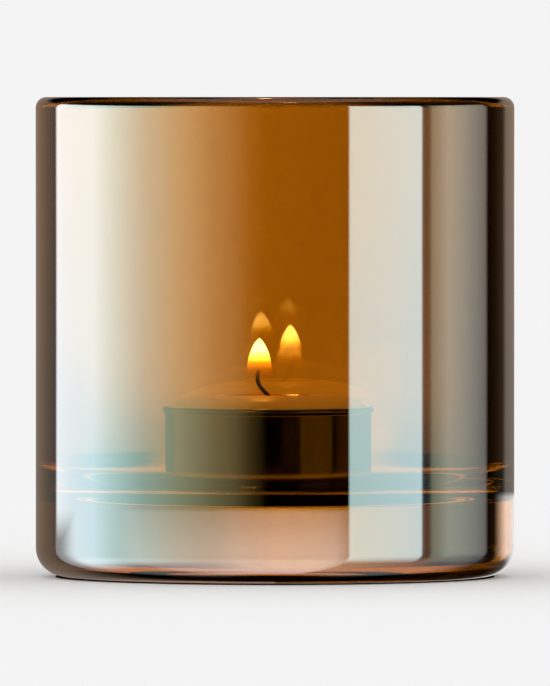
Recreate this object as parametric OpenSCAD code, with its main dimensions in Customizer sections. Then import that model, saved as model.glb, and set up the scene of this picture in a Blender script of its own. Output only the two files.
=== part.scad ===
// Tealight holder: a heavy-based round glass with a tealight standing loose inside it.
// Millimetres, +Z up, origin at the centre of the underside of the glass.

/* [Glass] */
// Outer diameter of the glass
glass_d = 85; // [60:1:120]
// Overall height of the glass
glass_h = 85; // [60:1:130]
// Thickness of the solid glass base under the cavity
base_t = 13.2; // [6:0.2:24]
// Thickness of the wall
wall_t = 3.8; // [2.4:0.1:6]
// Radius of the outer edge round the underside
foot_r = 5; // [1:0.5:6]
// Radius of the inner corner between floor and wall
corner_r = 7; // [2:0.5:8]

/* [Tealight cup] */
// Outer diameter of the aluminium cup
cup_d = 36.6; // [34:0.2:42]
// Height of the cup, lip included
cup_h = 16.8; // [12:0.2:26]
// Thickness of the cup's sheet metal
cup_wall = 0.3; // [0.2:0.05:0.6]
// How far the rolled lip stands out from the cup's side
lip_out = 0.5; // [0.3:0.1:1]
// Height of the rolled lip
lip_h = 0.9; // [0.8:0.1:1.4]
// Rounding of the cup's bottom edge
cup_edge_r = 1.2; // [0.8:0.1:2]
// How far the loose tealight stands off the glass's axis, along X
cup_shift = -1.2; // [-2:0.1:2]

/* [Wax pellet] */
// Gap all round between the pellet and the cup's wall
wax_gap = 0.15; // [0.1:0.05:0.5]
// How far the top of the pellet stands above the cup's lip
wax_proud = 2.2; // [0.5:0.1:4]
// Diameter of the flat middle of the pellet's top, inside the bevel
wax_flat_d = 24; // [12:0.5:26]
// Width across the melted hollow around the wick
pool_d = 15; // [6:0.5:18]
// Depth of the melted hollow
pool_depth = 0.5; // [0.2:0.1:1]

/* [Wick] */
// Diameter of the cotton wick
wick_d = 0.8; // [0.6:0.05:1.4]
// Radius of the bend that leans the wick over as it leaves the wax
lean_r = 1; // [0.8:0.1:2]
// How far the wick leans to the left, in degrees
lean_angle = 46; // [20:1:60]
// Straight run of the leaning wick, between its bends
lean_run = 0.9; // [0.5:0.1:3]
// Radius of the curl that brings the tip back
curl_r = 3.1; // [2:0.1:6]
// How far the curl turns back, in degrees
curl_angle = 76; // [40:1:100]

/* [Wick sustainer] */
// Diameter of the tin disc that holds the wick upright
disc_d = 13; // [9:0.5:20]
// Thickness of the tin
disc_t = 0.3; // [0.2:0.05:0.5]
// Height of the crimped neck, disc included
neck_h = 3.4; // [2:0.2:6]
// Wall thickness of the neck
neck_wall = 0.3; // [0.2:0.05:0.6]
// Gap left round the wick, the neck and the disc where they pass through another piece
fit_gap = 0.05; // [0.05:0.01:0.15]

/* [Hidden] */
$fn = 96;

glass_r = glass_d / 2;
cavity_r = glass_r - wall_t;
rim_r = wall_t / 2;
// The inner corner's arc ends before it would lift the tealight's foot
floor_corner_r = min(corner_r, cavity_r - (cup_d / 2 - cup_edge_r) - abs(cup_shift));
cup_r = cup_d / 2;
cup_bore_r = cup_r - cup_wall;
cup_floor = base_t + cup_wall;
lip_z = base_t + cup_h;
wax_r = cup_bore_r - wax_gap;
wax_top = lip_z + wax_proud;
pool_floor = wax_top - pool_depth;
wick_r = wick_d / 2;
neck_bore_r = wick_r + fit_gap;
neck_r = neck_bore_r + neck_wall;
wick_foot = cup_floor + fit_gap;
// How far a cut runs past the face it opens
past = 1;
wick_sides = 12;
// Rings of points round each bend of the wick
bend_steps = 8;
// Where the curl begins, after the first bend and the straight run
curl_x = -lean_r * (1 - cos(lean_angle)) - lean_run * sin(lean_angle);
curl_z = pool_floor + lean_r * sin(lean_angle) + lean_run * cos(lean_angle);

// Half section of a round body whose outer lower corner is rounded off
module rounded_section(r, z0, z1, edge) {
    translate([0, z0]) square([r - edge, z1 - z0]);
    translate([0, z0 + edge]) square([r, z1 - z0 - edge]);
    translate([r - edge, z0 + edge]) circle(edge);
}

// Heavy-based glass, with its rim melted to a full round
module glass_holder() {
    color([0.86, 0.66, 0.42, 0.5]) rotate_extrude() {
        difference() {
            rounded_section(glass_r, 0, glass_h - rim_r, foot_r);
            rounded_section(cavity_r, base_t, glass_h, floor_corner_r);
        }
        translate([glass_r - rim_r, glass_h - rim_r]) circle(rim_r);
    }
}

// Everything that stands on the cavity floor as one loose tealight
module at_tealight() {
    translate([cup_shift, 0, 0]) children();
}

// Thin pressed cup with a rolled lip
module tealight_cup() {
    color([0.78, 0.77, 0.74]) at_tealight() rotate_extrude() {
        difference() {
            union() {
                rounded_section(cup_r, base_t, lip_z - lip_h / 2, cup_edge_r);
                translate([cup_bore_r, lip_z - lip_h]) square([cup_wall + lip_out - lip_h / 2, lip_h]);
                translate([cup_r + lip_out - lip_h / 2, lip_z - lip_h / 2]) circle(lip_h / 2);
            }
            rounded_section(cup_bore_r, cup_floor, lip_z + past, cup_edge_r - cup_wall);
        }
    }
}

// Pressed wax with a bevelled top, a melted hollow and room for the sustainer underneath
module wax_pellet() {
    corner = cup_edge_r - cup_wall + wax_gap;
    color([0.93, 0.88, 0.78]) at_tealight() difference() {
        rotate_extrude() {
            rounded_section(wax_r, cup_floor, lip_z, corner);
            polygon([[0, lip_z], [wax_r, lip_z], [wax_flat_d / 2, wax_top], [0, wax_top]]);
        }
        translate([0, 0, pool_floor])
            cylinder(h = pool_depth + past, r1 = pool_d / 2 - pool_depth, r2 = pool_d / 2 + past);
        translate([0, 0, cup_floor - past]) {
            cylinder(h = disc_t + fit_gap + past, d = disc_d + 2 * fit_gap);
            cylinder(h = neck_h + fit_gap + past, r = neck_r + fit_gap);
            cylinder(h = wax_top - cup_floor + 2 * past, r = wick_r + fit_gap);
        }
    }
}

// Tin disc with a short neck that grips the wick
module wick_sustainer() {
    color([0.6, 0.6, 0.6]) at_tealight() translate([0, 0, cup_floor]) difference() {
        union() {
            cylinder(h = disc_t, d = disc_d);
            cylinder(h = neck_h, r = neck_r);
        }
        translate([0, 0, -past]) cylinder(h = neck_h + 2 * past, r = neck_bore_r);
    }
}

// Stations up the wick as [x, z, lean to the left]: upright in the wax, one bend over, then the curl back
function lean_station(a) = [-lean_r * (1 - cos(a)), pool_floor + lean_r * sin(a), a];
function curl_station(a) = [
    curl_x + curl_r * (cos(lean_angle) - cos(a)),
    curl_z + curl_r * (sin(lean_angle) - sin(a)),
    a
];
wick_path = concat(
    [[0, wick_foot, 0]],
    [for (i = [0:bend_steps]) lean_station(lean_angle * i / bend_steps)],
    [for (i = [0:bend_steps]) curl_station(lean_angle - curl_angle * i / bend_steps)]
);

// A tube of radius r along a path that lies in the XZ plane, with each ring square to the path
module tube(path, r) {
    points = [for (s = path) for (k = [0:wick_sides - 1])
        let (t = 360 * k / wick_sides) [s[0] + r * cos(t) * cos(s[2]), r * sin(t), s[1] + r * cos(t) * sin(s[2])]];
    function index(ring, k) = ring * wick_sides + k % wick_sides;
    polyhedron(points, concat(
        [[for (k = [0:wick_sides - 1]) index(0, k)]],
        [[for (k = [wick_sides - 1:-1:0]) index(len(path) - 1, k)]],
        [for (i = [0:len(path) - 2]) for (k = [0:wick_sides - 1]) [index(i, k), index(i + 1, k), index(i + 1, k + 1)]],
        [for (i = [0:len(path) - 2]) for (k = [0:wick_sides - 1]) [index(i, k), index(i + 1, k + 1), index(i, k + 1)]]
    ));
}

// Cotton wick, leaning over above the wax and curling back at its tip
module wick() {
    color([0.12, 0.1, 0.09]) at_tealight() tube(wick_path, wick_r);
}

glass_holder();
tealight_cup();
wax_pellet();
wick_sustainer();
wick();
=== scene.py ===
import math

import bpy
import numpy as np
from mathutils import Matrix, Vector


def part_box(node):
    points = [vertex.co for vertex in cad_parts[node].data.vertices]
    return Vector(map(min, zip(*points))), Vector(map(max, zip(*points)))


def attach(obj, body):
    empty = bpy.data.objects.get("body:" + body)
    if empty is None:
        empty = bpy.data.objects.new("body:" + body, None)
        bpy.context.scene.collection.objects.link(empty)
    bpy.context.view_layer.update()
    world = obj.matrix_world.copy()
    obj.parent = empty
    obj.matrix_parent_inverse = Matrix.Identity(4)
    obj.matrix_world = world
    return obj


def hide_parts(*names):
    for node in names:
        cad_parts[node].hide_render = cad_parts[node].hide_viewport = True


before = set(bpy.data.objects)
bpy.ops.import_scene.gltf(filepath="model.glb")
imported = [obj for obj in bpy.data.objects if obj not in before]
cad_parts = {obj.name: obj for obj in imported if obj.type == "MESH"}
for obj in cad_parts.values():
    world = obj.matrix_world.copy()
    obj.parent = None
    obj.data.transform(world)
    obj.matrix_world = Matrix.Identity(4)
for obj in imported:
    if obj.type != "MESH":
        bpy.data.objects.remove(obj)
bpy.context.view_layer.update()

# Everything below is in metres; dictionaries hold millimetres and are turned by this
mm = 0.001
scene = bpy.context.scene


def hexToLinear(code):
    # Each channel c of #rrggbb becomes c/12.92 when small, otherwise ((c + 0.055)/1.055) to the power 2.4
    channels = np.array([int(code[i:i + 2], 16) for i in (1, 3, 5)]) / 255
    linear = np.where(channels <= 0.04045, channels / 12.92, ((channels + 0.055) / 1.055) ** 2.4)
    return (*linear.tolist(), 1.0)


def addNode(tree, kind, settings=None, links=None):
    # A setting goes to the input of that name or number, or to the node's own property
    node = tree.nodes.new(kind)
    for name, value in (settings or {}).items():
        if isinstance(name, int) or name in node.inputs:
            node.inputs[name].default_value = value
        else:
            setattr(node, name, value)
    for name, socket in (links or {}).items():
        tree.links.new(socket, node.inputs[name])
    return node


def setRamp(node, stops):
    # Each stop is a place from 0 to 1 and a colour
    ramp = node.color_ramp
    while len(ramp.elements) > 1:
        ramp.elements.remove(ramp.elements[-1])
    for number, (place, colour) in enumerate(stops):
        stop = ramp.elements[0] if number == 0 else ramp.elements.new(place)
        stop.position = place
        stop.color = colour
    return node


def grey(value):
    return (value, value, value, 1.0)


def perMetre(size):
    # How many features of this size in mm fit in a metre, which is what a texture's scale counts
    return 1 / (size * mm)


def newMaterial(name):
    material = bpy.data.materials.new(name)
    material.use_nodes = True
    material.node_tree.nodes.clear()
    return material, material.node_tree


def finishMaterial(tree, shader):
    addNode(tree, "ShaderNodeOutputMaterial", links={"Surface": shader.outputs[0]})


def straight(start, end, steps):
    # Points spaced evenly from start to end, both included
    share = np.linspace(0, 1, steps + 1)[:, None]
    return np.array(start) * (1 - share) + np.array(end) * share


def arc(centre, radius, startAngle, endAngle, steps):
    # Point = centre + radius (cos angle, sin angle), with the angle running evenly in degrees
    angle = np.radians(np.linspace(startAngle, endAngle, steps + 1))
    return np.array(centre) + radius * np.stack([np.cos(angle), np.sin(angle)], axis=1)


def joined(*runs):
    # One outline from runs that each start where the last one ended
    return np.concatenate([runs[0]] + [run[1:] for run in runs[1:]])


def makeMesh(name, points, faces, materials, faceMaterial=None):
    # Points in metres; faceMaterial gives each face the number of its material
    mesh = bpy.data.meshes.new(name)
    mesh.from_pydata(points.tolist(), [], faces)
    mesh.polygons.foreach_set("use_smooth", np.ones(len(mesh.polygons), dtype=bool))
    for material in materials:
        mesh.materials.append(material)
    if faceMaterial is not None:
        mesh.polygons.foreach_set("material_index", np.array(faceMaterial, dtype=np.int32))
    mesh.update()
    piece = bpy.data.objects.new(name, mesh)
    scene.collection.objects.link(piece)
    return piece


def lathe(name, outline, segments, centre, materials, bands=None, shape=None):
    # The outline runs from the axis to the axis, as (radius, height) in mm.
    # Point = (radius cos angle, radius sin angle, height), after shape(radius, angle, height) has moved it;
    # a single point closes each end on the axis.
    angle = np.linspace(0, 2 * np.pi, segments, endpoint=False)[None, :]
    radius = np.repeat(outline[1:-1, :1], segments, axis=1)
    height = np.repeat(outline[1:-1, 1:], segments, axis=1)
    angle = np.repeat(angle, len(radius), axis=0)
    if shape is not None:
        radius, height = shape(radius, angle, height)
    rings = np.stack([radius * np.cos(angle), radius * np.sin(angle), height], axis=2).reshape(-1, 3)
    poles = np.array([[0, 0, outline[0, 1]], [0, 0, outline[-1, 1]]])
    points = (np.concatenate([rings, poles]) + np.array([centre[0], centre[1], 0])) * mm
    ring, turn = np.meshgrid(np.arange(len(radius) - 1), np.arange(segments), indexing="ij")
    after = (turn + 1) % segments
    corners = (ring * segments + turn, ring * segments + after)
    quads = np.stack([corners[0], corners[1], corners[1] + segments, corners[0] + segments], axis=2)
    spin = np.arange(segments)
    spinAfter = (spin + 1) % segments
    last = (len(radius) - 1) * segments
    foot = np.stack([np.full(segments, len(rings)), spinAfter, spin], axis=1)
    head = np.stack([np.full(segments, len(rings) + 1), last + spin, last + spinAfter], axis=1)
    faces = quads.reshape(-1, 4).tolist() + foot.tolist() + head.tolist()
    faceMaterial = None
    if bands is not None:
        inner = np.repeat(np.array(bands[1:-1]), segments)
        faceMaterial = np.concatenate([inner, np.full(segments, bands[0]), np.full(segments, bands[-1])])
    return makeMesh(name, points, faces, materials, faceMaterial)


camera = {
    "distance": 2200,
    "height": 85,
    "aimHeight": 41.3,
    "frameHeight": 121.85,
    "sensor": 36,
}


def makeCamera():
    # Focal length = sensor length times the distance, over the height of the frame at the object
    data = bpy.data.cameras.new("camera")
    data.sensor_width = camera["sensor"]
    data.lens = camera["sensor"] * camera["distance"] / camera["frameHeight"]
    data.clip_start = 0.1
    data.clip_end = 20
    view = bpy.data.objects.new("camera", data)
    drop = math.atan2(camera["height"] - camera["aimHeight"], camera["distance"])
    view.location = (0, -camera["distance"] * mm, camera["height"] * mm)
    view.rotation_euler = (math.pi / 2 - drop, 0, 0)
    scene.collection.objects.link(view)
    scene.camera = view


makeCamera()
scene.view_settings.view_transform = "Standard"
print("camera set")


# Pale sweep, and panels that only the glass and the metal see
studio = {
    "paper": "#f4f4f4",
    "paperFibre": 3.03,
    "floorRadius": 400,
    "floorDrop": 0.1,
    "shade": "#1c120c",
    "shadeRadius": 39,
    "skyLight": 1.0,
    "sillLean": -0.09,  # how fast the panels' sill drops towards the left
    "tableFar": 0.42,
    "tableFarRise": -1.92,
    "tableNear": 0.95,
    "tableNearRise": -2.1,
    "hollowFaces": 3.5,  # light through the hollow part crosses more faces than this
}

# Colour and strength of the panels round the object, as the outside of the glass mirrors them:
# degrees round from the camera, positive to the right
mirroredPanels = [
    (-180, (0.28, 0.2, 0.17)),
    (-150, (0.27, 0.18, 0.12)),
    (-132, (0.17, 0.13, 0.11)),
    (-130, (2.5, 2.4, 2.4)),
    (-98, (2.1, 2.6, 2.65)),
    (-84, (1.45, 2.0, 1.85)),
    (-66, (0.95, 1.25, 1.0)),
    (-48, (0.8, 0.82, 0.48)),
    (-30, (0.48, 0.4, 0.18)),
    (-20, (0.33, 0.25, 0.1)),
    (-12, (0.12, 0.08, 0.02)),
    (-4, (0.0, 0.0, 0.0)),
    (35.6, (0.0, 0.0, 0.0)),
    (36.2, (1.5, 1.9, 1.75)),
    (74.8, (1.75, 2.15, 2.15)),
    (76.0, (0.05, 0.08, 0.08)),
    (79.8, (0.05, 0.08, 0.08)),
    (81.0, (0.45, 0.48, 0.32)),
    (92, (1.02, 0.95, 0.75)),
    (101, (0.87, 0.84, 0.68)),
    (112, (0.66, 0.62, 0.54)),
    (122, (0.4, 0.36, 0.32)),
    (124.5, (0.0, 0.0, 0.0)),
    (132, (0.02, 0.012, 0.005)),
    (143, (0.05, 0.035, 0.02)),
    (149, (0.3, 0.24, 0.19)),
    (180, (0.28, 0.2, 0.17)),
]
# How much of the table shows, round from the camera
tableSpread = [
    (-90, 0.0),
    (-80, 0.1),
    (-69, 0.54),
    (-57, 0.64),
    (-36, 0.78),
    (-18, 1.0),
    (29, 1.0),
    (35.6, 0.6),
    (36.2, 0.12),
    (74, 0.0),
]
# What shows straight through the hollow part, in degrees to the right of straight behind:
# a lit sweep that falls off fast to the right
sweepBehind = [
    (-40, 0.1),
    (-30, 0.1),
    (-20, 0.3),
    (-8, 0.9),
    (-1.5, 1.08),
    (0, 1.0),
    (2, 0.84),
    (4, 0.5),
    (6, 0.33),
    (9, 0.1),
    (12, 0.02),
    (22, 0.0),
    (40, 0.0),
]
# What the solid base gathers as a lens, in degrees to the right of straight behind
wideSweep = [
    (-180, (0.9, 0.9, 0.9)),
    (-140, (0.9, 0.9, 0.9)),
    (-95, (1.5, 1.8, 1.8)),
    (-80, (2.5, 3.0, 3.0)),
    (-68, (2.3, 2.8, 2.8)),
    (-61, (0.8, 1.2, 1.2)),
    (-57, (0.0, 0.0, 0.0)),
    (-33, (0.0, 0.0, 0.0)),
    (-29, (0.15, 0.15, 0.15)),
    (-24, (0.5, 0.5, 0.5)),
    (-14, (0.75, 0.95, 0.8)),
    (-7, (1.16, 1.55, 1.3)),
    (0, (1.25, 1.65, 1.4)),
    (3, (1.05, 1.4, 1.2)),
    (6, (0.8, 1.0, 0.9)),
    (9, (0.5, 0.62, 0.5)),
    (12.5, (0.36, 0.34, 0.3)),
    (17, (0.25, 0.14, 0.1)),
    (25, (0.2, 0.05, 0.05)),
    (50, (0.1, 0.1, 0.1)),
    (80, (0.12, 0.12, 0.12)),
    (110, (0.9, 0.9, 0.9)),
    (180, (0.9, 0.9, 0.9)),
]


# How the panels are tinted from their foot to their head, a little above eye level
panelCast = [
    (0.0, (0.88, 0.98, 1.02)),
    (0.5, (0.99, 1.02, 1.02)),
    (1.0, (1.08, 1.04, 0.98)),
]
# Soft edges: the heading each is measured on, its start and end in degrees, and its strength at either.
# rise goes up from eye level, fromCamera and fromBehind go round to the right, swing and aside are those two
# without their sign, and sill is rise with the sill's lean
softEdges = {
    "panelSill": ("sill", -40, -11, 0.0, 1.0),
    "panelHead": ("rise", 13, 20, 1.0, 0.0),
    "panelWarmth": ("rise", -1.8, -0.2, 0.0, 1.0),
    "cutBackTop": ("rise", -2.15, -1.88, 0.0, 1.0),
    "cutBackSide": ("fromCamera", -128, -110, 0.3, 1.0),
    "cutBackEnd": ("fromCamera", -132, -130, 1.0, 0.0),
    "tableEdge": ("rise", -1.925, -1.9, 1.0, 0.0),
    "tableFoot": ("rise", -87, -72, 0.0, 1.0),
    "footGlow": ("rise", -24, -10, 0.28, 0.0),
    "footGlowSides": ("swing", 105, 135, 1.0, 0.0),
    "sideGlow": ("fromCamera", 131, 148, 0.0, 0.7),
    "sideGlowTop": ("rise", -1.86, -1.82, 1.0, 0.0),
    "sideGlowFoot": ("rise", -14, -5, 0.0, 1.0),
    "overhead": ("rise", 50, 70, 0.0, 0.12),
    "sweepFoot": ("rise", -1.85, -1.1, 0.0, 1.0),
    "sweepMiddle": ("aside", 1.5, 4, 1.0, 0.0),
    "farPaper": ("aside", 70, 95, 0.0, 0.85),
    "steepDown": ("rise", -30, -18, 1.0, 0.0),
    "steepUp": ("rise", 40, 60, 0.0, 1.0),
    "lowDown": ("rise", -9, -5, 1.0, 0.0),
    "lowSides": ("aside", 45, 70, 0.0, 1.0),
    "dimPanels": ("rise", 22, 26, 0.1, 0.03),
    "baseLight": ("rise", -10, -6, 1.15, 0.0),
    "baseLightSides": ("aside", 25, 50, 1.0, 0.15),
    "deepLight": ("rise", -50, -30, 0.5, 0.0),
}


def spreadStops(stops, reach):
    # Stops given in degrees become shares of a ramp that runs from -reach to +reach
    return [((degrees + reach) / (2 * reach), (*shade, 1.0) if isinstance(shade, tuple) else grey(shade))
            for degrees, shade in stops]


def makeWorld():
    world = bpy.data.worlds.new("studio")
    world.use_nodes = True
    scene.world = world
    tree = world.node_tree
    tree.nodes.clear()
    place = addNode(tree, "ShaderNodeTexCoord")
    axes = addNode(tree, "ShaderNodeSeparateXYZ", links={0: place.outputs["Generated"]})
    path = addNode(tree, "ShaderNodeLightPath")
    # Headings in radians: one from the camera, one from straight behind the glass, and the rise
    toCamera = addNode(tree, "ShaderNodeMath", {"operation": "MULTIPLY", 1: -1.0}, {0: axes.outputs["Y"]})
    fromCamera = addNode(tree, "ShaderNodeMath", {"operation": "ARCTAN2"},
                         {0: axes.outputs["X"], 1: toCamera.outputs[0]})
    fromBehind = addNode(tree, "ShaderNodeMath", {"operation": "ARCTAN2"},
                         {0: axes.outputs["X"], 1: axes.outputs["Y"]})
    rise = addNode(tree, "ShaderNodeMath", {"operation": "ARCSINE"}, {0: axes.outputs["Z"]})
    swing = addNode(tree, "ShaderNodeMath", {"operation": "ABSOLUTE"}, {0: fromCamera.outputs[0]})
    aside = addNode(tree, "ShaderNodeMath", {"operation": "ABSOLUTE"}, {0: fromBehind.outputs[0]})
    sill = addNode(tree, "ShaderNodeMath", {"operation": "MULTIPLY_ADD", 1: studio["sillLean"]},
                   {0: fromCamera.outputs[0], 2: rise.outputs[0]})
    # Which part the light has come through, and whether it was mirrored on its way
    hollow = addNode(tree, "ShaderNodeMath", {"operation": "GREATER_THAN", 1: studio["hollowFaces"]},
                     {0: path.outputs["Transmission Depth"]})
    solid = addNode(tree, "ShaderNodeMath", {"operation": "SUBTRACT", 0: 1.0}, {1: hollow.outputs[0]})
    reflected = addNode(tree, "ShaderNodeMath", {"operation": "MINIMUM", 1: 1.0},
                        {0: path.outputs["Glossy Depth"]})
    bounced = addNode(tree, "ShaderNodeMath", {"operation": "MAXIMUM"},
                      {0: path.outputs["Is Glossy Ray"], 1: path.outputs["Is Transmission Ray"]})
    tableTone = addNode(tree, "ShaderNodeMapRange", {
        "From Min": math.radians(studio["tableNearRise"]), "From Max": math.radians(studio["tableFarRise"]),
        "To Min": studio["tableNear"], "To Max": studio["tableFar"],
    }, {"Value": rise.outputs[0]})
    paper = addNode(tree, "ShaderNodeRGB")
    paper.outputs[0].default_value = hexToLinear(studio["paper"])
    # Everything from here on is kept by name
    layers = {
        "fromCamera": fromCamera.outputs[0],
        "fromBehind": fromBehind.outputs[0],
        "rise": rise.outputs[0],
        "swing": swing.outputs[0],
        "aside": aside.outputs[0],
        "sill": sill.outputs[0],
        "hollow": hollow.outputs[0],
        "solid": solid.outputs[0],
        "reflected": reflected.outputs[0],
        "insideGlass": path.outputs["Is Transmission Ray"],
        "tableTone": tableTone.outputs[0],
        "paper": paper.outputs[0],
    }
    for name, (heading, start, end, startStrength, endStrength) in softEdges.items():
        edge = addNode(tree, "ShaderNodeMapRange", {
            "interpolation_type": "SMOOTHSTEP",
            "From Min": math.radians(start), "From Max": math.radians(end),
            "To Min": startStrength, "To Max": endStrength,
        }, {"Value": layers[heading]})
        layers[name] = edge.outputs[0]
    for name, heading, reach, stops in [
        ("panels", "fromCamera", 180, mirroredPanels),
        ("tableSpread", "fromCamera", 180, tableSpread),
        ("sweepBehind", "fromBehind", 40, sweepBehind),
        ("wideSweep", "fromBehind", 180, wideSweep),
    ]:
        share = addNode(tree, "ShaderNodeMapRange", {
            "From Min": math.radians(-reach), "From Max": math.radians(reach),
        }, {"Value": layers[heading]})
        ramp = addNode(tree, "ShaderNodeValToRGB", links={"Fac": share.outputs[0]})
        layers[name] = setRamp(ramp, spreadStops(stops, reach)).outputs[0]
    cast = addNode(tree, "ShaderNodeValToRGB", links={"Fac": layers["panelWarmth"]})
    layers["cast"] = setRamp(cast, [(height, (*colour, 1.0)) for height, colour in panelCast]).outputs[0]
    # Strengths made of two others: their product where both have to hold, the larger where either will do
    for name, operation, one, other in [
        # The panels end at a sill that is lower on the left, and the left one is cut back below eye level
        ("panelSpan", "MULTIPLY", "panelSill", "panelHead"),
        ("cutBackEdge", "MAXIMUM", "cutBackSide", "cutBackEnd"),
        ("cutBack", "MAXIMUM", "cutBackTop", "cutBackEdge"),
        ("window", "MULTIPLY", "panelSpan", "cutBack"),
        # The table lies in front below eye level, and brightens towards the camera
        ("tableSpan", "MULTIPLY", "tableEdge", "tableFoot"),
        ("tableLight", "MULTIPLY", "tableSpan", "tableTone"),
        # A low glow for the foot, and one far round on the right for the side of the base
        ("footGlowSpan", "MULTIPLY", "tableFoot", "footGlowSides"),
        ("footLight", "MULTIPLY", "footGlow", "footGlowSpan"),
        ("sideGlowSpan", "MULTIPLY", "sideGlowTop", "sideGlowFoot"),
        ("sideLight", "MULTIPLY", "sideGlow", "sideGlowSpan"),
        ("glow", "MAXIMUM", "footLight", "sideLight"),
        # The sweep grows dark towards the table, except straight behind
        ("sweepLit", "MAXIMUM", "sweepFoot", "sweepMiddle"),
        # Steeply up or down, and low at the sides, there is paper
        ("steep", "MAXIMUM", "steepDown", "steepUp"),
        ("low", "MULTIPLY", "lowDown", "lowSides"),
        ("beyond", "MAXIMUM", "steep", "low"),
        # What bounces about in the solid base comes out on paper near straight behind
        ("baseSpan", "MULTIPLY", "baseLight", "baseLightSides"),
        ("baseOnly", "MULTIPLY", "baseSpan", "solid"),
        ("lowLight", "MAXIMUM", "baseOnly", "deepLight"),
    ]:
        strength = addNode(tree, "ShaderNodeMath", {"operation": operation},
                           {0: layers[one], 1: layers[other]})
        layers[name] = strength.outputs[0]
    # Colours laid on one another: how, by which share if not wholly, what is below, and what is laid on it
    for name, blend, share, below, above in [
        # What the outside of the glass mirrors: panels, table, glows and a faint light overhead
        ("tinted", "MULTIPLY", None, "panels", "cast"),
        ("framed", "MULTIPLY", None, "tinted", "window"),
        ("table", "MULTIPLY", None, "tableSpread", "tableLight"),
        ("glowing", "ADD", None, "table", "glow"),
        ("front", "ADD", None, "framed", "glowing"),
        ("mirrored", "ADD", None, "front", "overhead"),
        # What shows through: the near sweep through the hollow part, the wide one through the solid base
        ("sweep", "MULTIPLY", None, "sweepBehind", "sweepLit"),
        ("behind", "LIGHTEN", None, "sweep", "farPaper"),
        ("near", "MIX", "hollow", "wideSweep", "behind"),
        ("through", "MIX", "beyond", "near", "paper"),
        # Metal and inner faces mirror the panels dimly, and pale paper far below
        ("dimmed", "MULTIPLY", None, "panels", "dimPanels"),
        ("inside", "ADD", None, "dimmed", "lowLight"),
        ("seenInside", "MIX", "reflected", "through", "inside"),
        ("layout", "MIX", "insideGlass", "mirrored", "seenInside"),
    ]:
        settings = {"data_type": "RGBA", "blend_type": blend}
        links = {6: layers[below], 7: layers[above]}
        if share is None:
            settings[0] = 1.0
        else:
            links[0] = layers[share]
        layers[name] = addNode(tree, "ShaderNodeMix", settings, links).outputs[2]
    # Matt faces get even light, glass and metal the layout, and the camera the plain paper
    soft = addNode(tree, "ShaderNodeBackground", {"Color": grey(1.0), "Strength": studio["skyLight"]})
    shaped = addNode(tree, "ShaderNodeBackground", {"Strength": 1.0}, {"Color": layers["layout"]})
    backdrop = addNode(tree, "ShaderNodeBackground", {"Color": hexToLinear(studio["paper"]), "Strength": 1.0})
    light = addNode(tree, "ShaderNodeMixShader",
                    links={0: bounced.outputs[0], 1: soft.outputs[0], 2: shaped.outputs[0]})
    final = addNode(tree, "ShaderNodeMixShader",
                    links={0: path.outputs["Is Camera Ray"], 1: light.outputs[0], 2: backdrop.outputs[0]})
    addNode(tree, "ShaderNodeOutputWorld", links={"Surface": final.outputs[0]})


def sweepPaper(name, code):
    # Matt seamless paper: even and without gloss, with a fibre mottle that is barely lighter and darker
    material, tree = newMaterial(name)
    place = addNode(tree, "ShaderNodeTexCoord")
    fibre = addNode(tree, "ShaderNodeTexNoise", {"Scale": perMetre(studio["paperFibre"]), "Detail": 3.0},
                    {"Vector": place.outputs["Object"]})
    base = np.array(hexToLinear(code))
    tone = setRamp(addNode(tree, "ShaderNodeValToRGB", links={"Fac": fibre.outputs[0]}), [
        (0.3, tuple(base * 0.995)), (0.7, tuple(base * 1.005)),
    ])
    paper = addNode(tree, "ShaderNodeBsdfDiffuse", {"Roughness": 0.0}, {"Color": tone.outputs[0]})
    finishMaterial(tree, paper)
    return material


def makeDisc(name, radius, drop, material):
    # A thin disc with square edges, its top face a drop below the ground
    outline = np.array([[0, -1.0], [radius, -1.0], [radius, 0], [0, 0]]) - np.array([0, drop])
    disc = lathe(name, outline, 128, (0, 0), [material])
    disc.visible_glossy = False
    disc.data.polygons.foreach_set("use_smooth", np.zeros(len(disc.data.polygons), dtype=bool))
    return disc


def makeFloor():
    # The paper, and a dark disc of painted shade right under the glass, which is what the solid base looks
    # down into
    floor = makeDisc("floor", studio["floorRadius"], studio["floorDrop"] * 2,
                     sweepPaper("seamless_paper_matt", studio["paper"]))
    floor.visible_transmission = False
    makeDisc("contact_shade", studio["shadeRadius"], studio["floorDrop"],
             sweepPaper("paper_in_shade", studio["shade"]))


makeWorld()
makeFloor()
print("studio set")


glass = {
    "wall": 3.8,
    "foot": 5.0,
    "floorCorner": 7.0,
    "segments": 256,
    "outerWave": 0.03,
    "innerWave": 0.1,
    "waveFade": 20,
    "waveFoot": 8,  # above the cavity floor
    "waveHead": 80,
    "backSwell": 0.4,
    "backSwellFoot": 20.4,
    "backSwellMiddle": 26,
    "backSwellHead": 52,
    "backReach": 0.55,
    "backMiddle": 0.08,
    "lustre": "#d6770a",
    "lustreDeep": "#d17106",
    "lustreCloud": 20,
    "lustreDraw": 0.35,
    # Painted shade round the rim: its colour, and how far below the top it starts and is full
    "rimShadeColour": "#5f3614",
    "rimShadeFoot": 1.9,
    "rimShadeFull": 1.3,
    "coatIor": 3.0,
    "clear": "#fbfdfc",
    "ripple": 15.15,
    "rippleStrength": 0.1,
    "rippleDepth": 0.2,
}


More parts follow.
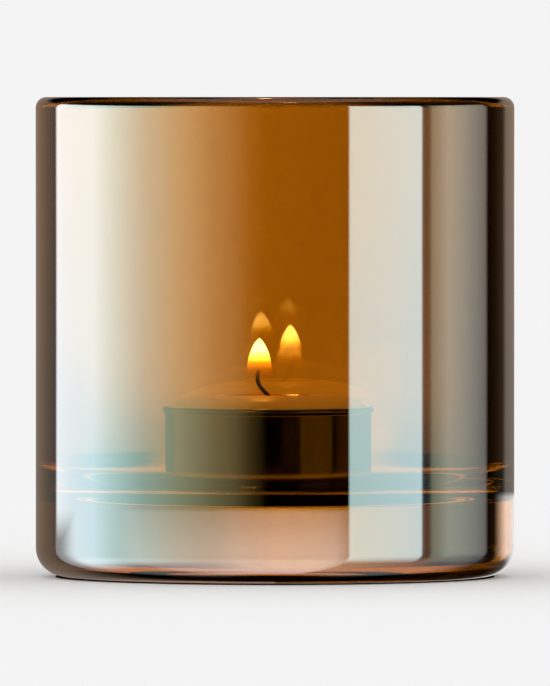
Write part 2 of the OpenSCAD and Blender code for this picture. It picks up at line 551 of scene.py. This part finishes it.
def lustredGlass(rimTop):
    # Blown soda-lime glass, fired with a thin metallic lustre: a cool mirror outside, amber to look through
    material, tree = newMaterial("blown_glass_amber_lustre")
    place = addNode(tree, "ShaderNodeTexCoord")
    # Sprayed lustre clouds over about 20 mm, drawn out along the height
    stretch = addNode(tree, "ShaderNodeMapping", {"Scale": (1.0, 1.0, glass["lustreDraw"])},
                      {"Vector": place.outputs["Object"]})
    cloud = addNode(tree, "ShaderNodeTexNoise", {"Scale": perMetre(glass["lustreCloud"]), "Detail": 3.0},
                    {"Vector": stretch.outputs[0]})
    tone = setRamp(addNode(tree, "ShaderNodeValToRGB", links={"Fac": cloud.outputs[0]}), [
        (0.35, hexToLinear(glass["lustreDeep"])), (0.65, hexToLinear(glass["lustre"])),
    ])
    # Painted shade: a darker band mixed into the lustre colour round the melted rim, over its last 1.9 mm
    axes = addNode(tree, "ShaderNodeSeparateXYZ", links={0: place.outputs["Object"]})
    rimShade = addNode(tree, "ShaderNodeMapRange", {
        "From Min": (rimTop - glass["rimShadeFoot"]) * mm, "From Max": (rimTop - glass["rimShadeFull"]) * mm,
    }, {"Value": axes.outputs["Z"]})
    coated = addNode(tree, "ShaderNodeMix", {"data_type": "RGBA", 7: hexToLinear(glass["rimShadeColour"])},
                     {0: rimShade.outputs[0], 6: tone.outputs[0]})
    shader = addNode(tree, "ShaderNodeBsdfPrincipled", {
        "IOR": 1.5,
        "Roughness": 0.0,
        "Transmission Weight": 1.0,
        "Coat Weight": 1.0,
        "Coat Roughness": 0.0,
        "Coat IOR": glass["coatIor"],
    }, {"Base Color": coated.outputs[2]})
    finishMaterial(tree, shader)
    return material


def clearGlass():
    # Fire-polished soda-lime glass: colourless, with the soft sway of a blown surface
    material, tree = newMaterial("blown_glass_clear")
    place = addNode(tree, "ShaderNodeTexCoord")
    # Slow ripples about 15 mm apart
    ripple = addNode(tree, "ShaderNodeTexNoise", {"Scale": perMetre(glass["ripple"]), "Detail": 1.0},
                     {"Vector": place.outputs["Object"]})
    bump = addNode(tree, "ShaderNodeBump", {
        "Strength": glass["rippleStrength"], "Distance": glass["rippleDepth"] * mm,
    }, {"Height": ripple.outputs[0]})
    shader = addNode(tree, "ShaderNodeBsdfPrincipled", {
        "Base Color": hexToLinear(glass["clear"]),
        "IOR": 1.5,
        "Roughness": 0.0,
        "Transmission Weight": 1.0,
    }, {"Normal": bump.outputs[0]})
    finishMaterial(tree, shader)
    return material


def glassOutline():
    # Underside, foot arc, outer wall, full-round rim, inner wall, floor arc and cavity floor, in mm; the last
    # number of each run is how many steps it takes
    low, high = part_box("glass_holder")
    radius = (high.x - low.x) / 2 / mm
    top = high.z / mm
    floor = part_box("tealight_cup")[0].z / mm
    rim = glass["wall"] / 2
    cavity = radius - glass["wall"]
    foot, corner = glass["foot"], glass["floorCorner"]
    runs = [
        straight((0, 0), (radius - foot, 0), 24),
        arc((radius - foot, foot), foot, -90, 0, 24),
        straight((radius, foot), (radius, top - rim), 80),
        arc((radius - rim, top - rim), rim, 0, 90, 20),
        arc((radius - rim, top - rim), rim, 90, 180, 20),
        straight((cavity, top - rim), (cavity, floor + corner), 64),
        arc((cavity - corner, floor + corner), corner, 0, -90, 24),
        straight((cavity - corner, floor), (0, floor), 24),
    ]
    lustred = (False, True, True, True, False, False, False, False)
    bands = [0 if coated else 1 for run, coated in zip(runs, lustred) for _ in range(len(run) - 1)]
    return joined(*runs), bands, radius, cavity, floor


def makeGlass():
    outline, bands, outerRadius, cavityRadius, floor = glassOutline()

    def slope(height, start, end):
        # 0 below start, 1 above end, smooth between: share^2 (3 - 2 share)
        share = np.clip((height - start) / (end - start), 0, 1)
        return share ** 2 * (3 - 2 * share)

    def handBlown(radius, angle, height):
        # Only the upright walls sway: radius = radius - wave depth times a share that fades at floor and rim.
        # At the back the inside also swells by back times swell, which parts the flame's two reflections
        outer = radius > outerRadius - 0.01
        inner = np.abs(radius - cavityRadius) < 0.01
        rise = np.clip((height - floor - glass["waveFoot"]) / glass["waveFade"], 0, 1)
        rise = rise * np.clip((glass["waveHead"] - height) / glass["waveFade"], 0, 1)
        sway = 0.5 + 0.25 * np.sin(2 * angle + height / 9) + 0.25 * np.sin(3 * angle - height / 14 + 1)
        sideways = (np.cos(angle) - glass["backMiddle"]) / glass["backReach"]
        back = np.clip(1 - sideways ** 2, 0, 1) ** 2 * (np.sin(angle) > 0)
        swell = slope(height, glass["backSwellFoot"], glass["backSwellMiddle"]) * glass["backSwell"]
        swell = swell * (1 - slope(height, glass["backSwellMiddle"], glass["backSwellHead"]))
        lost = outer * glass["outerWave"] * rise * sway
        lost = lost + inner * (glass["innerWave"] * rise * sway + back * swell)
        return radius - lost, height

    body = lathe("glass_body", outline, glass["segments"], (0, 0),
                 [lustredGlass(outline[:, 1].max()), clearGlass()], bands, handBlown)
    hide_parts("glass_holder")
    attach(body, "holder")


makeGlass()
print("glass made")


cup = {
    "wall": 0.3,
    "lipOut": 0.5,
    "lipHeight": 0.9,
    "edge": 1.2,
    "footRing": 12.5,
    "footRise": 0.25,
    "footSlope": 0.6,
    "lipRound": 0.1,
    "segments": 180,
    "dents": 0.02,
    "drawLine": 1 / 3,
    "drawDepth": 0.01,
    "drawStrength": 0.08,
    "haze": 8.33,
    "dark": "#d3d3d1",
    "bright": "#e6e6e4",
}


def pressedAluminium():
    # Deep-drawn aluminium foil sheet: satin, with fine draw lines up its side
    material, tree = newMaterial("pressed_aluminium_satin")
    place = addNode(tree, "ShaderNodeTexCoord")
    # Draw lines 0.3 mm apart, drawn about twice as coarse as the real ones so that they show
    lines = addNode(tree, "ShaderNodeMapping", {"Scale": (1.0, 1.0, 0.03)},
                    {"Vector": place.outputs["Object"]})
    streak = addNode(tree, "ShaderNodeTexNoise", {"Scale": perMetre(cup["drawLine"]), "Detail": 2.0},
                     {"Vector": lines.outputs[0]})
    # Handling haze in patches of about 8 mm
    haze = addNode(tree, "ShaderNodeTexNoise", {"Scale": perMetre(cup["haze"]), "Detail": 3.0},
                   {"Vector": place.outputs["Object"]})
    tone = setRamp(addNode(tree, "ShaderNodeValToRGB", links={"Fac": streak.outputs[0]}), [
        (0.3, hexToLinear(cup["dark"])), (0.7, hexToLinear(cup["bright"])),
    ])
    rough = addNode(tree, "ShaderNodeMapRange", {"To Min": 0.08, "To Max": 0.14}, {"Value": haze.outputs[0]})
    bump = addNode(tree, "ShaderNodeBump", {
        "Strength": cup["drawStrength"], "Distance": cup["drawDepth"] * mm,
    }, {"Height": streak.outputs[0]})
    shader = addNode(tree, "ShaderNodeBsdfPrincipled", {"Metallic": 1.0}, {
        "Base Color": tone.outputs[0], "Roughness": rough.outputs[0], "Normal": bump.outputs[0],
    })
    finishMaterial(tree, shader)
    return material


def makeCup():
    # The outline runs from the raised foot out and up the side, over the rolled lip and down the inside
    low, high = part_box("tealight_cup")
    foot, top = low.z / mm, high.z / mm
    radius = (high.x - low.x) / 2 / mm - cup["lipOut"]
    bore = radius - cup["wall"]
    roll = cup["lipHeight"] / 2
    rollRadius = radius + cup["lipOut"] - roll
    edge = cup["edge"]
    innerEdge = edge - cup["wall"]
    ring, rise = cup["footRing"], cup["footRise"]
    ringInside = ring - cup["footSlope"]
    lipRound = cup["lipRound"]
    outline = joined(
        straight((0, foot + rise), (ringInside, foot + rise), 10),
        straight((ringInside, foot + rise), (ring, foot), 3),
        straight((ring, foot), (radius - edge, foot), 4),
        arc((radius - edge, foot + edge), edge, -90, 0, 10),
        straight((radius, foot + edge), (radius, top - 2 * roll), 30),
        straight((radius, top - 2 * roll), (rollRadius, top - 2 * roll), 1),
        arc((rollRadius, top - roll), roll, -90, 90, 14),
        straight((rollRadius, top), (bore + lipRound, top), 2),
        arc((bore + lipRound, top - lipRound), lipRound, 90, 180, 4),
        straight((bore, top - lipRound), (bore, foot + edge), 24),
        arc((bore - innerEdge, foot + edge), innerEdge, 0, -90, 8),
        straight((bore - innerEdge, foot + cup["wall"]), (0, foot + cup["wall"]), 10),
    )

    def handled(radius, angle, height):
        # Faint dents: the side goes in by a few hundredths of a millimetre in three slow waves
        wave = 0.5 + 0.5 * np.sin(3 * angle + height / 4)
        return radius - cup["dents"] * wave * (radius > bore - 1) * (height < top - 1.5), height

    centre = ((low.x + high.x) / 2 / mm, (low.y + high.y) / 2 / mm)
    shell = lathe("cup_shell", outline, cup["segments"], centre, [pressedAluminium()], None, handled)
    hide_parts("tealight_cup")
    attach(shell, "cup")


makeCup()
print("cup made")


wax = {
    "poolDiameter": 15,
    "poolDepth": 0.5,
    "shoulderPower": 7,
    "corner": 1.05,
    "sink": 0.06,
    "segments": 180,
    "body": "#f8dcae",
    "melted": "#f2c07c",
    "grain": 0.833,
    "grainDepth": 0.1,
    "grainStrength": 0.2,
    "haze": 3.33,
    # Painted glow of the flame's light on the wax: its strength, where it starts and ends, and its colour
    "glow": 0.3,
    "glowStart": 0.6,  # in pool radii, as is the next
    "glowEnd": 2.6,
    "glowColour": "#ff6c12",
}


def pressedWax(centre):
    # Pressed paraffin: milky and translucent, matt where it is still pressed grain, wet where it has melted
    material, tree = newMaterial("pressed_paraffin_wax")
    place = addNode(tree, "ShaderNodeTexCoord")
    centred = addNode(tree, "ShaderNodeMapping", {"Location": (-centre[0] * mm, -centre[1] * mm, 0)},
                      {"Vector": place.outputs["Object"]})
    flat = addNode(tree, "ShaderNodeMapping", {"Scale": (1, 1, 0)}, {"Vector": centred.outputs[0]})
    reach = addNode(tree, "ShaderNodeVectorMath", {"operation": "LENGTH"}, {0: flat.outputs[0]})
    pool = wax["poolDiameter"] / 2 * mm
    solid = addNode(tree, "ShaderNodeMapRange", {
        "interpolation_type": "SMOOTHSTEP", "From Min": pool * 0.85, "From Max": pool * 1.15,
    }, {"Value": reach.outputs["Value"]})
    tone = setRamp(addNode(tree, "ShaderNodeValToRGB", links={"Fac": solid.outputs[0]}), [
        (0.0, hexToLinear(wax["melted"])), (1.0, hexToLinear(wax["body"])),
    ])
    # Grains of about 0.8 mm, broken up over about 3 mm
    grain = addNode(tree, "ShaderNodeTexVoronoi", {"Scale": perMetre(wax["grain"])},
                    {"Vector": place.outputs["Object"]})
    haze = addNode(tree, "ShaderNodeTexNoise", {"Scale": perMetre(wax["haze"]), "Detail": 3.0},
                   {"Vector": place.outputs["Object"]})
    rough = addNode(tree, "ShaderNodeMapRange", {"To Min": 0.07, "To Max": 0.4}, {"Value": solid.outputs[0]})
    height = addNode(tree, "ShaderNodeMath", {"operation": "MULTIPLY"},
                     {0: grain.outputs[0], 1: haze.outputs[0]})
    relief = addNode(tree, "ShaderNodeMath", {"operation": "MULTIPLY"},
                     {0: height.outputs[0], 1: solid.outputs[0]})
    bump = addNode(tree, "ShaderNodeBump", {
        "Strength": wax["grainStrength"], "Distance": wax["grainDepth"] * mm,
    }, {"Height": relief.outputs[0]})
    # Painted glow: emission on the wax, strongest round the pool and dying away over the pellet's width,
    # stands in for the flame's light soaking into it
    paintedGlow = addNode(tree, "ShaderNodeMapRange", {
        "From Min": pool * wax["glowStart"], "From Max": pool * wax["glowEnd"],
        "To Min": wax["glow"], "To Max": 0.0,
    }, {"Value": reach.outputs["Value"]})
    shader = addNode(tree, "ShaderNodeBsdfPrincipled", {
        "IOR": 1.44,
        "Subsurface Weight": 1.0,
        "Subsurface Radius": (1.0, 0.62, 0.34),
        "Subsurface Scale": 0.004,
        "Emission Color": hexToLinear(wax["glowColour"]),
    }, {
        "Base Color": tone.outputs[0], "Roughness": rough.outputs[0], "Normal": bump.outputs[0],
        "Emission Strength": paintedGlow.outputs[0],
    })
    finishMaterial(tree, shader)
    return material


def makeWax():
    low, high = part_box("wax_pellet")
    foot, top = low.z / mm, high.z / mm
    radius = (high.x - low.x) / 2 / mm
    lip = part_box("tealight_cup")[1].z / mm
    pool = wax["poolDiameter"] / 2
    corner = wax["corner"]
    # Rounded shoulder: height = lip + proud (1 - share^power), with share = radius over the pellet's radius;
    # the points crowd towards the edge, where it turns down most steeply
    share = 1 - (1 - pool / radius) * np.linspace(0, 1, 41)[1:] ** 1.7
    shoulder = np.stack([radius * share, lip + (top - lip) * (1 - share ** wax["shoulderPower"])], axis=1)
    # Melted hollow: the same curve less depth (1 - share^2)^2, with share = radius over the pool's radius
    hollowRadius = pool * np.linspace(1, 0, 25)[1:]
    crown = lip + (top - lip) * (1 - (hollowRadius / radius) ** wax["shoulderPower"])
    hollowHeight = crown - wax["poolDepth"] * (1 - (hollowRadius / pool) ** 2) ** 2
    hollow = np.stack([hollowRadius, hollowHeight], axis=1)
    outline = np.concatenate([
        joined(
            straight((0, foot), (radius - corner, foot), 12),
            arc((radius - corner, foot + corner), corner, -90, 0, 8),
            straight((radius, foot + corner), (radius, lip), 24),
        ),
        shoulder,
        hollow,
    ])

    def pressed(radius, angle, height):
        # The bevel and flat sink a little in slow waves, as on wax that has softened and set once:
        # height = height - sink times a sum of two sines round the pellet
        wave = 0.5 + 0.3 * np.sin(2 * angle + 0.6) + 0.2 * np.sin(5 * angle + 2)
        return radius, height - wax["sink"] * wave * (height > lip + 0.3)

    centre = ((low.x + high.x) / 2 / mm, (low.y + high.y) / 2 / mm)
    pellet = lathe("wax_body", outline, wax["segments"], centre, [pressedWax(centre)], None, pressed)
    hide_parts("wax_pellet")
    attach(pellet, "candle")
    return centre, top


candleCentre, waxTop = makeWax()
print("wax made")


wick = {
    "diameter": 0.8,
    "leanRadius": 1.0,
    "leanAngle": 46,
    "leanRun": 0.9,
    "curlRadius": 3.1,
    "curlAngle": 76,
    "strands": 3,
    "braidPitch": 1.6,
    "braidDepth": 0.14,
    "tipRound": 0.5,
    "heelRound": 0.1,
    "sides": 36,
    "rings": 220,
    "waxed": "#d8c7a2",
    "soot": "#120c08",
    "ash": "#3a2c22",
    "ashFleck": 0.303,
    "ashDepth": 0.05,
    "ashStrength": 0.6,
    "ember": "#ff5a14",
    "emberLength": 0.35,
}


def wickPath():
    # Upright to the hollow's bottom, an arc to the left, a short straight, then an arc back to the right:
    # each stretch adds (-sin lean, cos lean) times the step, and along an arc the lean turns evenly
    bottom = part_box("wick")[0].z / mm
    rise = waxTop - wax["poolDepth"] - bottom
    lean = math.radians(wick["leanAngle"])
    curl = math.radians(wick["curlAngle"])
    lengths = np.array([rise, wick["leanRadius"] * lean, wick["leanRun"], wick["curlRadius"] * curl])
    ends = np.concatenate([[0], np.cumsum(lengths)])
    along = np.linspace(0, ends[-1], wick["rings"] * 8)
    tilt = np.interp(along, ends, [0, 0, lean, lean, lean - curl])
    step = np.diff(along, prepend=0)
    x = np.cumsum(-np.sin(tilt) * step)
    z = bottom + np.cumsum(np.cos(tilt) * step)
    even = np.linspace(0, ends[-1], wick["rings"])
    return even, np.interp(even, along, x), np.interp(even, along, z), np.interp(even, along, tilt), ends[1]


def charredCotton(exposedFrom, tip):
    # Plaited cotton: waxed cream below, soot black where it burns, with a dull ember at its tip
    material, tree = newMaterial("plaited_cotton_charred")
    place = addNode(tree, "ShaderNodeTexCoord")
    axes = addNode(tree, "ShaderNodeSeparateXYZ", links={0: place.outputs["Object"]})
    burnt = addNode(tree, "ShaderNodeMapRange", {
        "From Min": (exposedFrom - 0.2) * mm, "From Max": (exposedFrom + 0.5) * mm,
    }, {"Value": axes.outputs["Z"]})
    # Ash flecks of about 0.3 mm
    ash = addNode(tree, "ShaderNodeTexNoise", {"Scale": perMetre(wick["ashFleck"]), "Detail": 4.0},
                  {"Vector": place.outputs["Object"]})
    char = setRamp(addNode(tree, "ShaderNodeValToRGB", links={"Fac": ash.outputs[0]}), [
        (0.45, hexToLinear(wick["soot"])), (0.8, hexToLinear(wick["ash"])),
    ])
    tone = addNode(tree, "ShaderNodeMix", {"data_type": "RGBA", 6: hexToLinear(wick["waxed"])},
                   {0: burnt.outputs[0], 7: char.outputs[0]})
    bump = addNode(tree, "ShaderNodeBump", {
        "Strength": wick["ashStrength"], "Distance": wick["ashDepth"] * mm,
    }, {"Height": ash.outputs[0]})
    heat = addNode(tree, "ShaderNodeMapRange", {
        "From Min": (tip - wick["emberLength"]) * mm, "From Max": tip * mm,
    }, {"Value": axes.outputs["Z"]})
    ember = setRamp(addNode(tree, "ShaderNodeValToRGB", links={"Fac": heat.outputs[0]}), [
        (0.0, grey(0.0)), (1.0, hexToLinear(wick["ember"])),
    ])
    shader = addNode(tree, "ShaderNodeBsdfPrincipled", {
        "Roughness": 0.9, "Sheen Weight": 0.3, "Emission Strength": 1.2,
    }, {"Base Color": tone.outputs[2], "Normal": bump.outputs[0], "Emission Color": ember.outputs[0]})
    finishMaterial(tree, shader)
    return material


def makeWick():
    along, x, z, tilt, exposedFrom = wickPath()
    # Tube point = path + ring radius (cos turn times the sideways vector, sin turn along Y); the ring radius
    # dips between three strands that wind once per pitch, and narrows to a rounded tip
    turn = np.linspace(0, 2 * np.pi, wick["sides"], endpoint=False)[None, :]
    twist = 2 * np.pi * along[:, None] / wick["braidPitch"]
    strand = np.abs(np.cos(wick["strands"] / 2 * (turn - twist)))
    fromTip = along[-1] - along[:, None]
    nose = np.sqrt(np.clip(1 - (1 - np.clip(fromTip / wick["tipRound"], 0, 1)) ** 2, 0.0004, 1))
    heel = np.sqrt(np.clip(1 - (1 - np.clip(along[:, None] / wick["heelRound"], 0, 1)) ** 2, 0.0004, 1))
    radius = wick["diameter"] / 2 * (1 - wick["braidDepth"] * (1 - strand)) * nose * heel
    side = radius * np.cos(turn)
    points = np.stack([
        candleCentre[0] + x[:, None] + side * np.cos(tilt[:, None]),
        candleCentre[1] + radius * np.sin(turn),
        z[:, None] + side * np.sin(tilt[:, None]),
    ], axis=2).reshape(-1, 3) * mm
    rings, sides = wick["rings"], wick["sides"]
    ring, spin = np.meshgrid(np.arange(rings - 1), np.arange(sides), indexing="ij")
    after = (spin + 1) % sides
    quads = np.stack([ring * sides + spin, ring * sides + after,
                      (ring + 1) * sides + after, (ring + 1) * sides + spin], axis=2).reshape(-1, 4)
    caps = [list(range(sides - 1, -1, -1)), [(rings - 1) * sides + k for k in range(sides)]]
    surface = np.interp(exposedFrom, along, z)
    braid = makeMesh("wick_braid", points, quads.tolist() + caps, [charredCotton(surface, z[-1])])
    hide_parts("wick")
    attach(braid, "candle")


makeWick()
print("wick made")


tin = {
    "rolling": 0.2,
    "dark": "#b4b5b4",
    "bright": "#cfd0ce",
}


def tinPlate():
    # Stamped tinplate: bright grey with a rolled grain and a faint haze from the wax
    material, tree = newMaterial("stamped_tinplate")
    place = addNode(tree, "ShaderNodeTexCoord")
    # Rolling marks about 0.2 mm apart along one way
    rolled = addNode(tree, "ShaderNodeMapping", {"Scale": (1.0, 0.05, 1.0)},
                     {"Vector": place.outputs["Object"]})
    grain = addNode(tree, "ShaderNodeTexNoise", {"Scale": perMetre(tin["rolling"]), "Detail": 2.0},
                    {"Vector": rolled.outputs[0]})
    tone = setRamp(addNode(tree, "ShaderNodeValToRGB", links={"Fac": grain.outputs[0]}), [
        (0.3, hexToLinear(tin["dark"])), (0.7, hexToLinear(tin["bright"])),
    ])
    rough = addNode(tree, "ShaderNodeMapRange", {"To Min": 0.25, "To Max": 0.45}, {"Value": grain.outputs[0]})
    shader = addNode(tree, "ShaderNodeBsdfPrincipled", {"Metallic": 1.0},
                     {"Base Color": tone.outputs[0], "Roughness": rough.outputs[0]})
    finishMaterial(tree, shader)
    return material


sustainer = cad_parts["wick_sustainer"]
sustainer.data.materials.clear()
sustainer.data.materials.append(tinPlate())
print("sustainer finished")


flame = {
    "tipHeight": 42.1,
    "waistHeight": 36.6,
    "footHeight": 34.9,
    "centreX": -2.75,
    "width": 4.5,
    "shoulderPower": 1.7,
    "tipPower": 0.72,
    "segments": 64,
    "glow": 14.0,
}


def candleFlame():
    # Burning wax vapour: clear and dim round the wick, orange, then yellow, then a white-hot body
    material, tree = newMaterial("candle_flame")
    place = addNode(tree, "ShaderNodeTexCoord")
    axes = addNode(tree, "ShaderNodeSeparateXYZ", links={0: place.outputs["Object"]})
    rise = addNode(tree, "ShaderNodeMapRange", {
        "From Min": flame["footHeight"] * mm, "From Max": flame["tipHeight"] * mm,
    }, {"Value": axes.outputs["Z"]})
    # Light, not paint, so these are strengths, and the blue of the hottest part may pass 1
    colour = setRamp(addNode(tree, "ShaderNodeValToRGB", links={"Fac": rise.outputs[0]}), [
        (0.0, (1.0, 0.3, 0.02, 1)),
        (0.3, (1.0, 0.42, 0.03, 1)),
        (0.45, (1.0, 0.6, 0.1, 1)),
        (0.6, (1.0, 0.85, 0.5, 1)),
        (0.7, (1.0, 0.92, 1.3, 1)),
        (0.9, (1.0, 0.92, 1.3, 1)),
        (1.0, (1.0, 0.86, 0.7, 1)),
    ])
    power = setRamp(addNode(tree, "ShaderNodeValToRGB", links={"Fac": rise.outputs[0]}), [
        (0.0, grey(0.04)), (0.25, grey(0.08)), (0.42, grey(0.2)), (0.6, grey(0.8)), (0.75, grey(1.0)),
    ])
    facing = addNode(tree, "ShaderNodeLayerWeight", {"Blend": 0.35})
    body = addNode(tree, "ShaderNodeMath", {"operation": "SUBTRACT", 0: 1.0}, {1: facing.outputs["Facing"]})
    strength = addNode(tree, "ShaderNodeMath", {"operation": "MULTIPLY", 1: flame["glow"]},
                       {0: power.outputs[0]})
    density = setRamp(addNode(tree, "ShaderNodeValToRGB", links={"Fac": rise.outputs[0]}), [
        (0.0, grey(0.0)), (0.2, grey(0.35)), (0.45, grey(0.8)), (0.6, grey(1.0)),
    ])
    edge = addNode(tree, "ShaderNodeMapRange", {"From Min": 0.0, "From Max": 0.5}, {"Value": body.outputs[0]})
    alpha = addNode(tree, "ShaderNodeMath", {"operation": "MULTIPLY"},
                    {0: density.outputs[0], 1: edge.outputs[0]})
    shader = addNode(tree, "ShaderNodeBsdfPrincipled", {
        "Base Color": hexToLinear("#000000"), "Roughness": 1.0, "Specular IOR Level": 0.0,
    }, {
        "Emission Color": colour.outputs[0], "Emission Strength": strength.outputs[0],
        "Alpha": alpha.outputs[0],
    })
    finishMaterial(tree, shader)
    return material


def makeFlame():
    # Below the waist a quarter ellipse: radius = half width times sqrt(1 - down^2). Above it an egg:
    # half width times (1 - up^shoulderPower)^tipPower. Down and up are shares of the way to foot and tip
    down = np.cos(np.linspace(0, np.pi / 2, 13))
    up = np.sin(np.linspace(0, np.pi / 2, 33))[1:]
    waist = flame["waistHeight"]
    height = np.concatenate([
        waist - (waist - flame["footHeight"]) * down,
        waist + (flame["tipHeight"] - waist) * up,
    ])
    girth = np.concatenate([
        np.sqrt(1 - down ** 2),
        np.clip(1 - up ** flame["shoulderPower"], 0, 1) ** flame["tipPower"],
    ])
    outline = np.stack([flame["width"] / 2 * girth, height], axis=1)
    outline[0, 0] = outline[-1, 0] = 0
    centre = (flame["centreX"], candleCentre[1])
    body = lathe("flame_body", outline, flame["segments"], centre, [candleFlame()])
    body.visible_shadow = False
    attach(body, "candle")


makeFlame()
print("flame made")
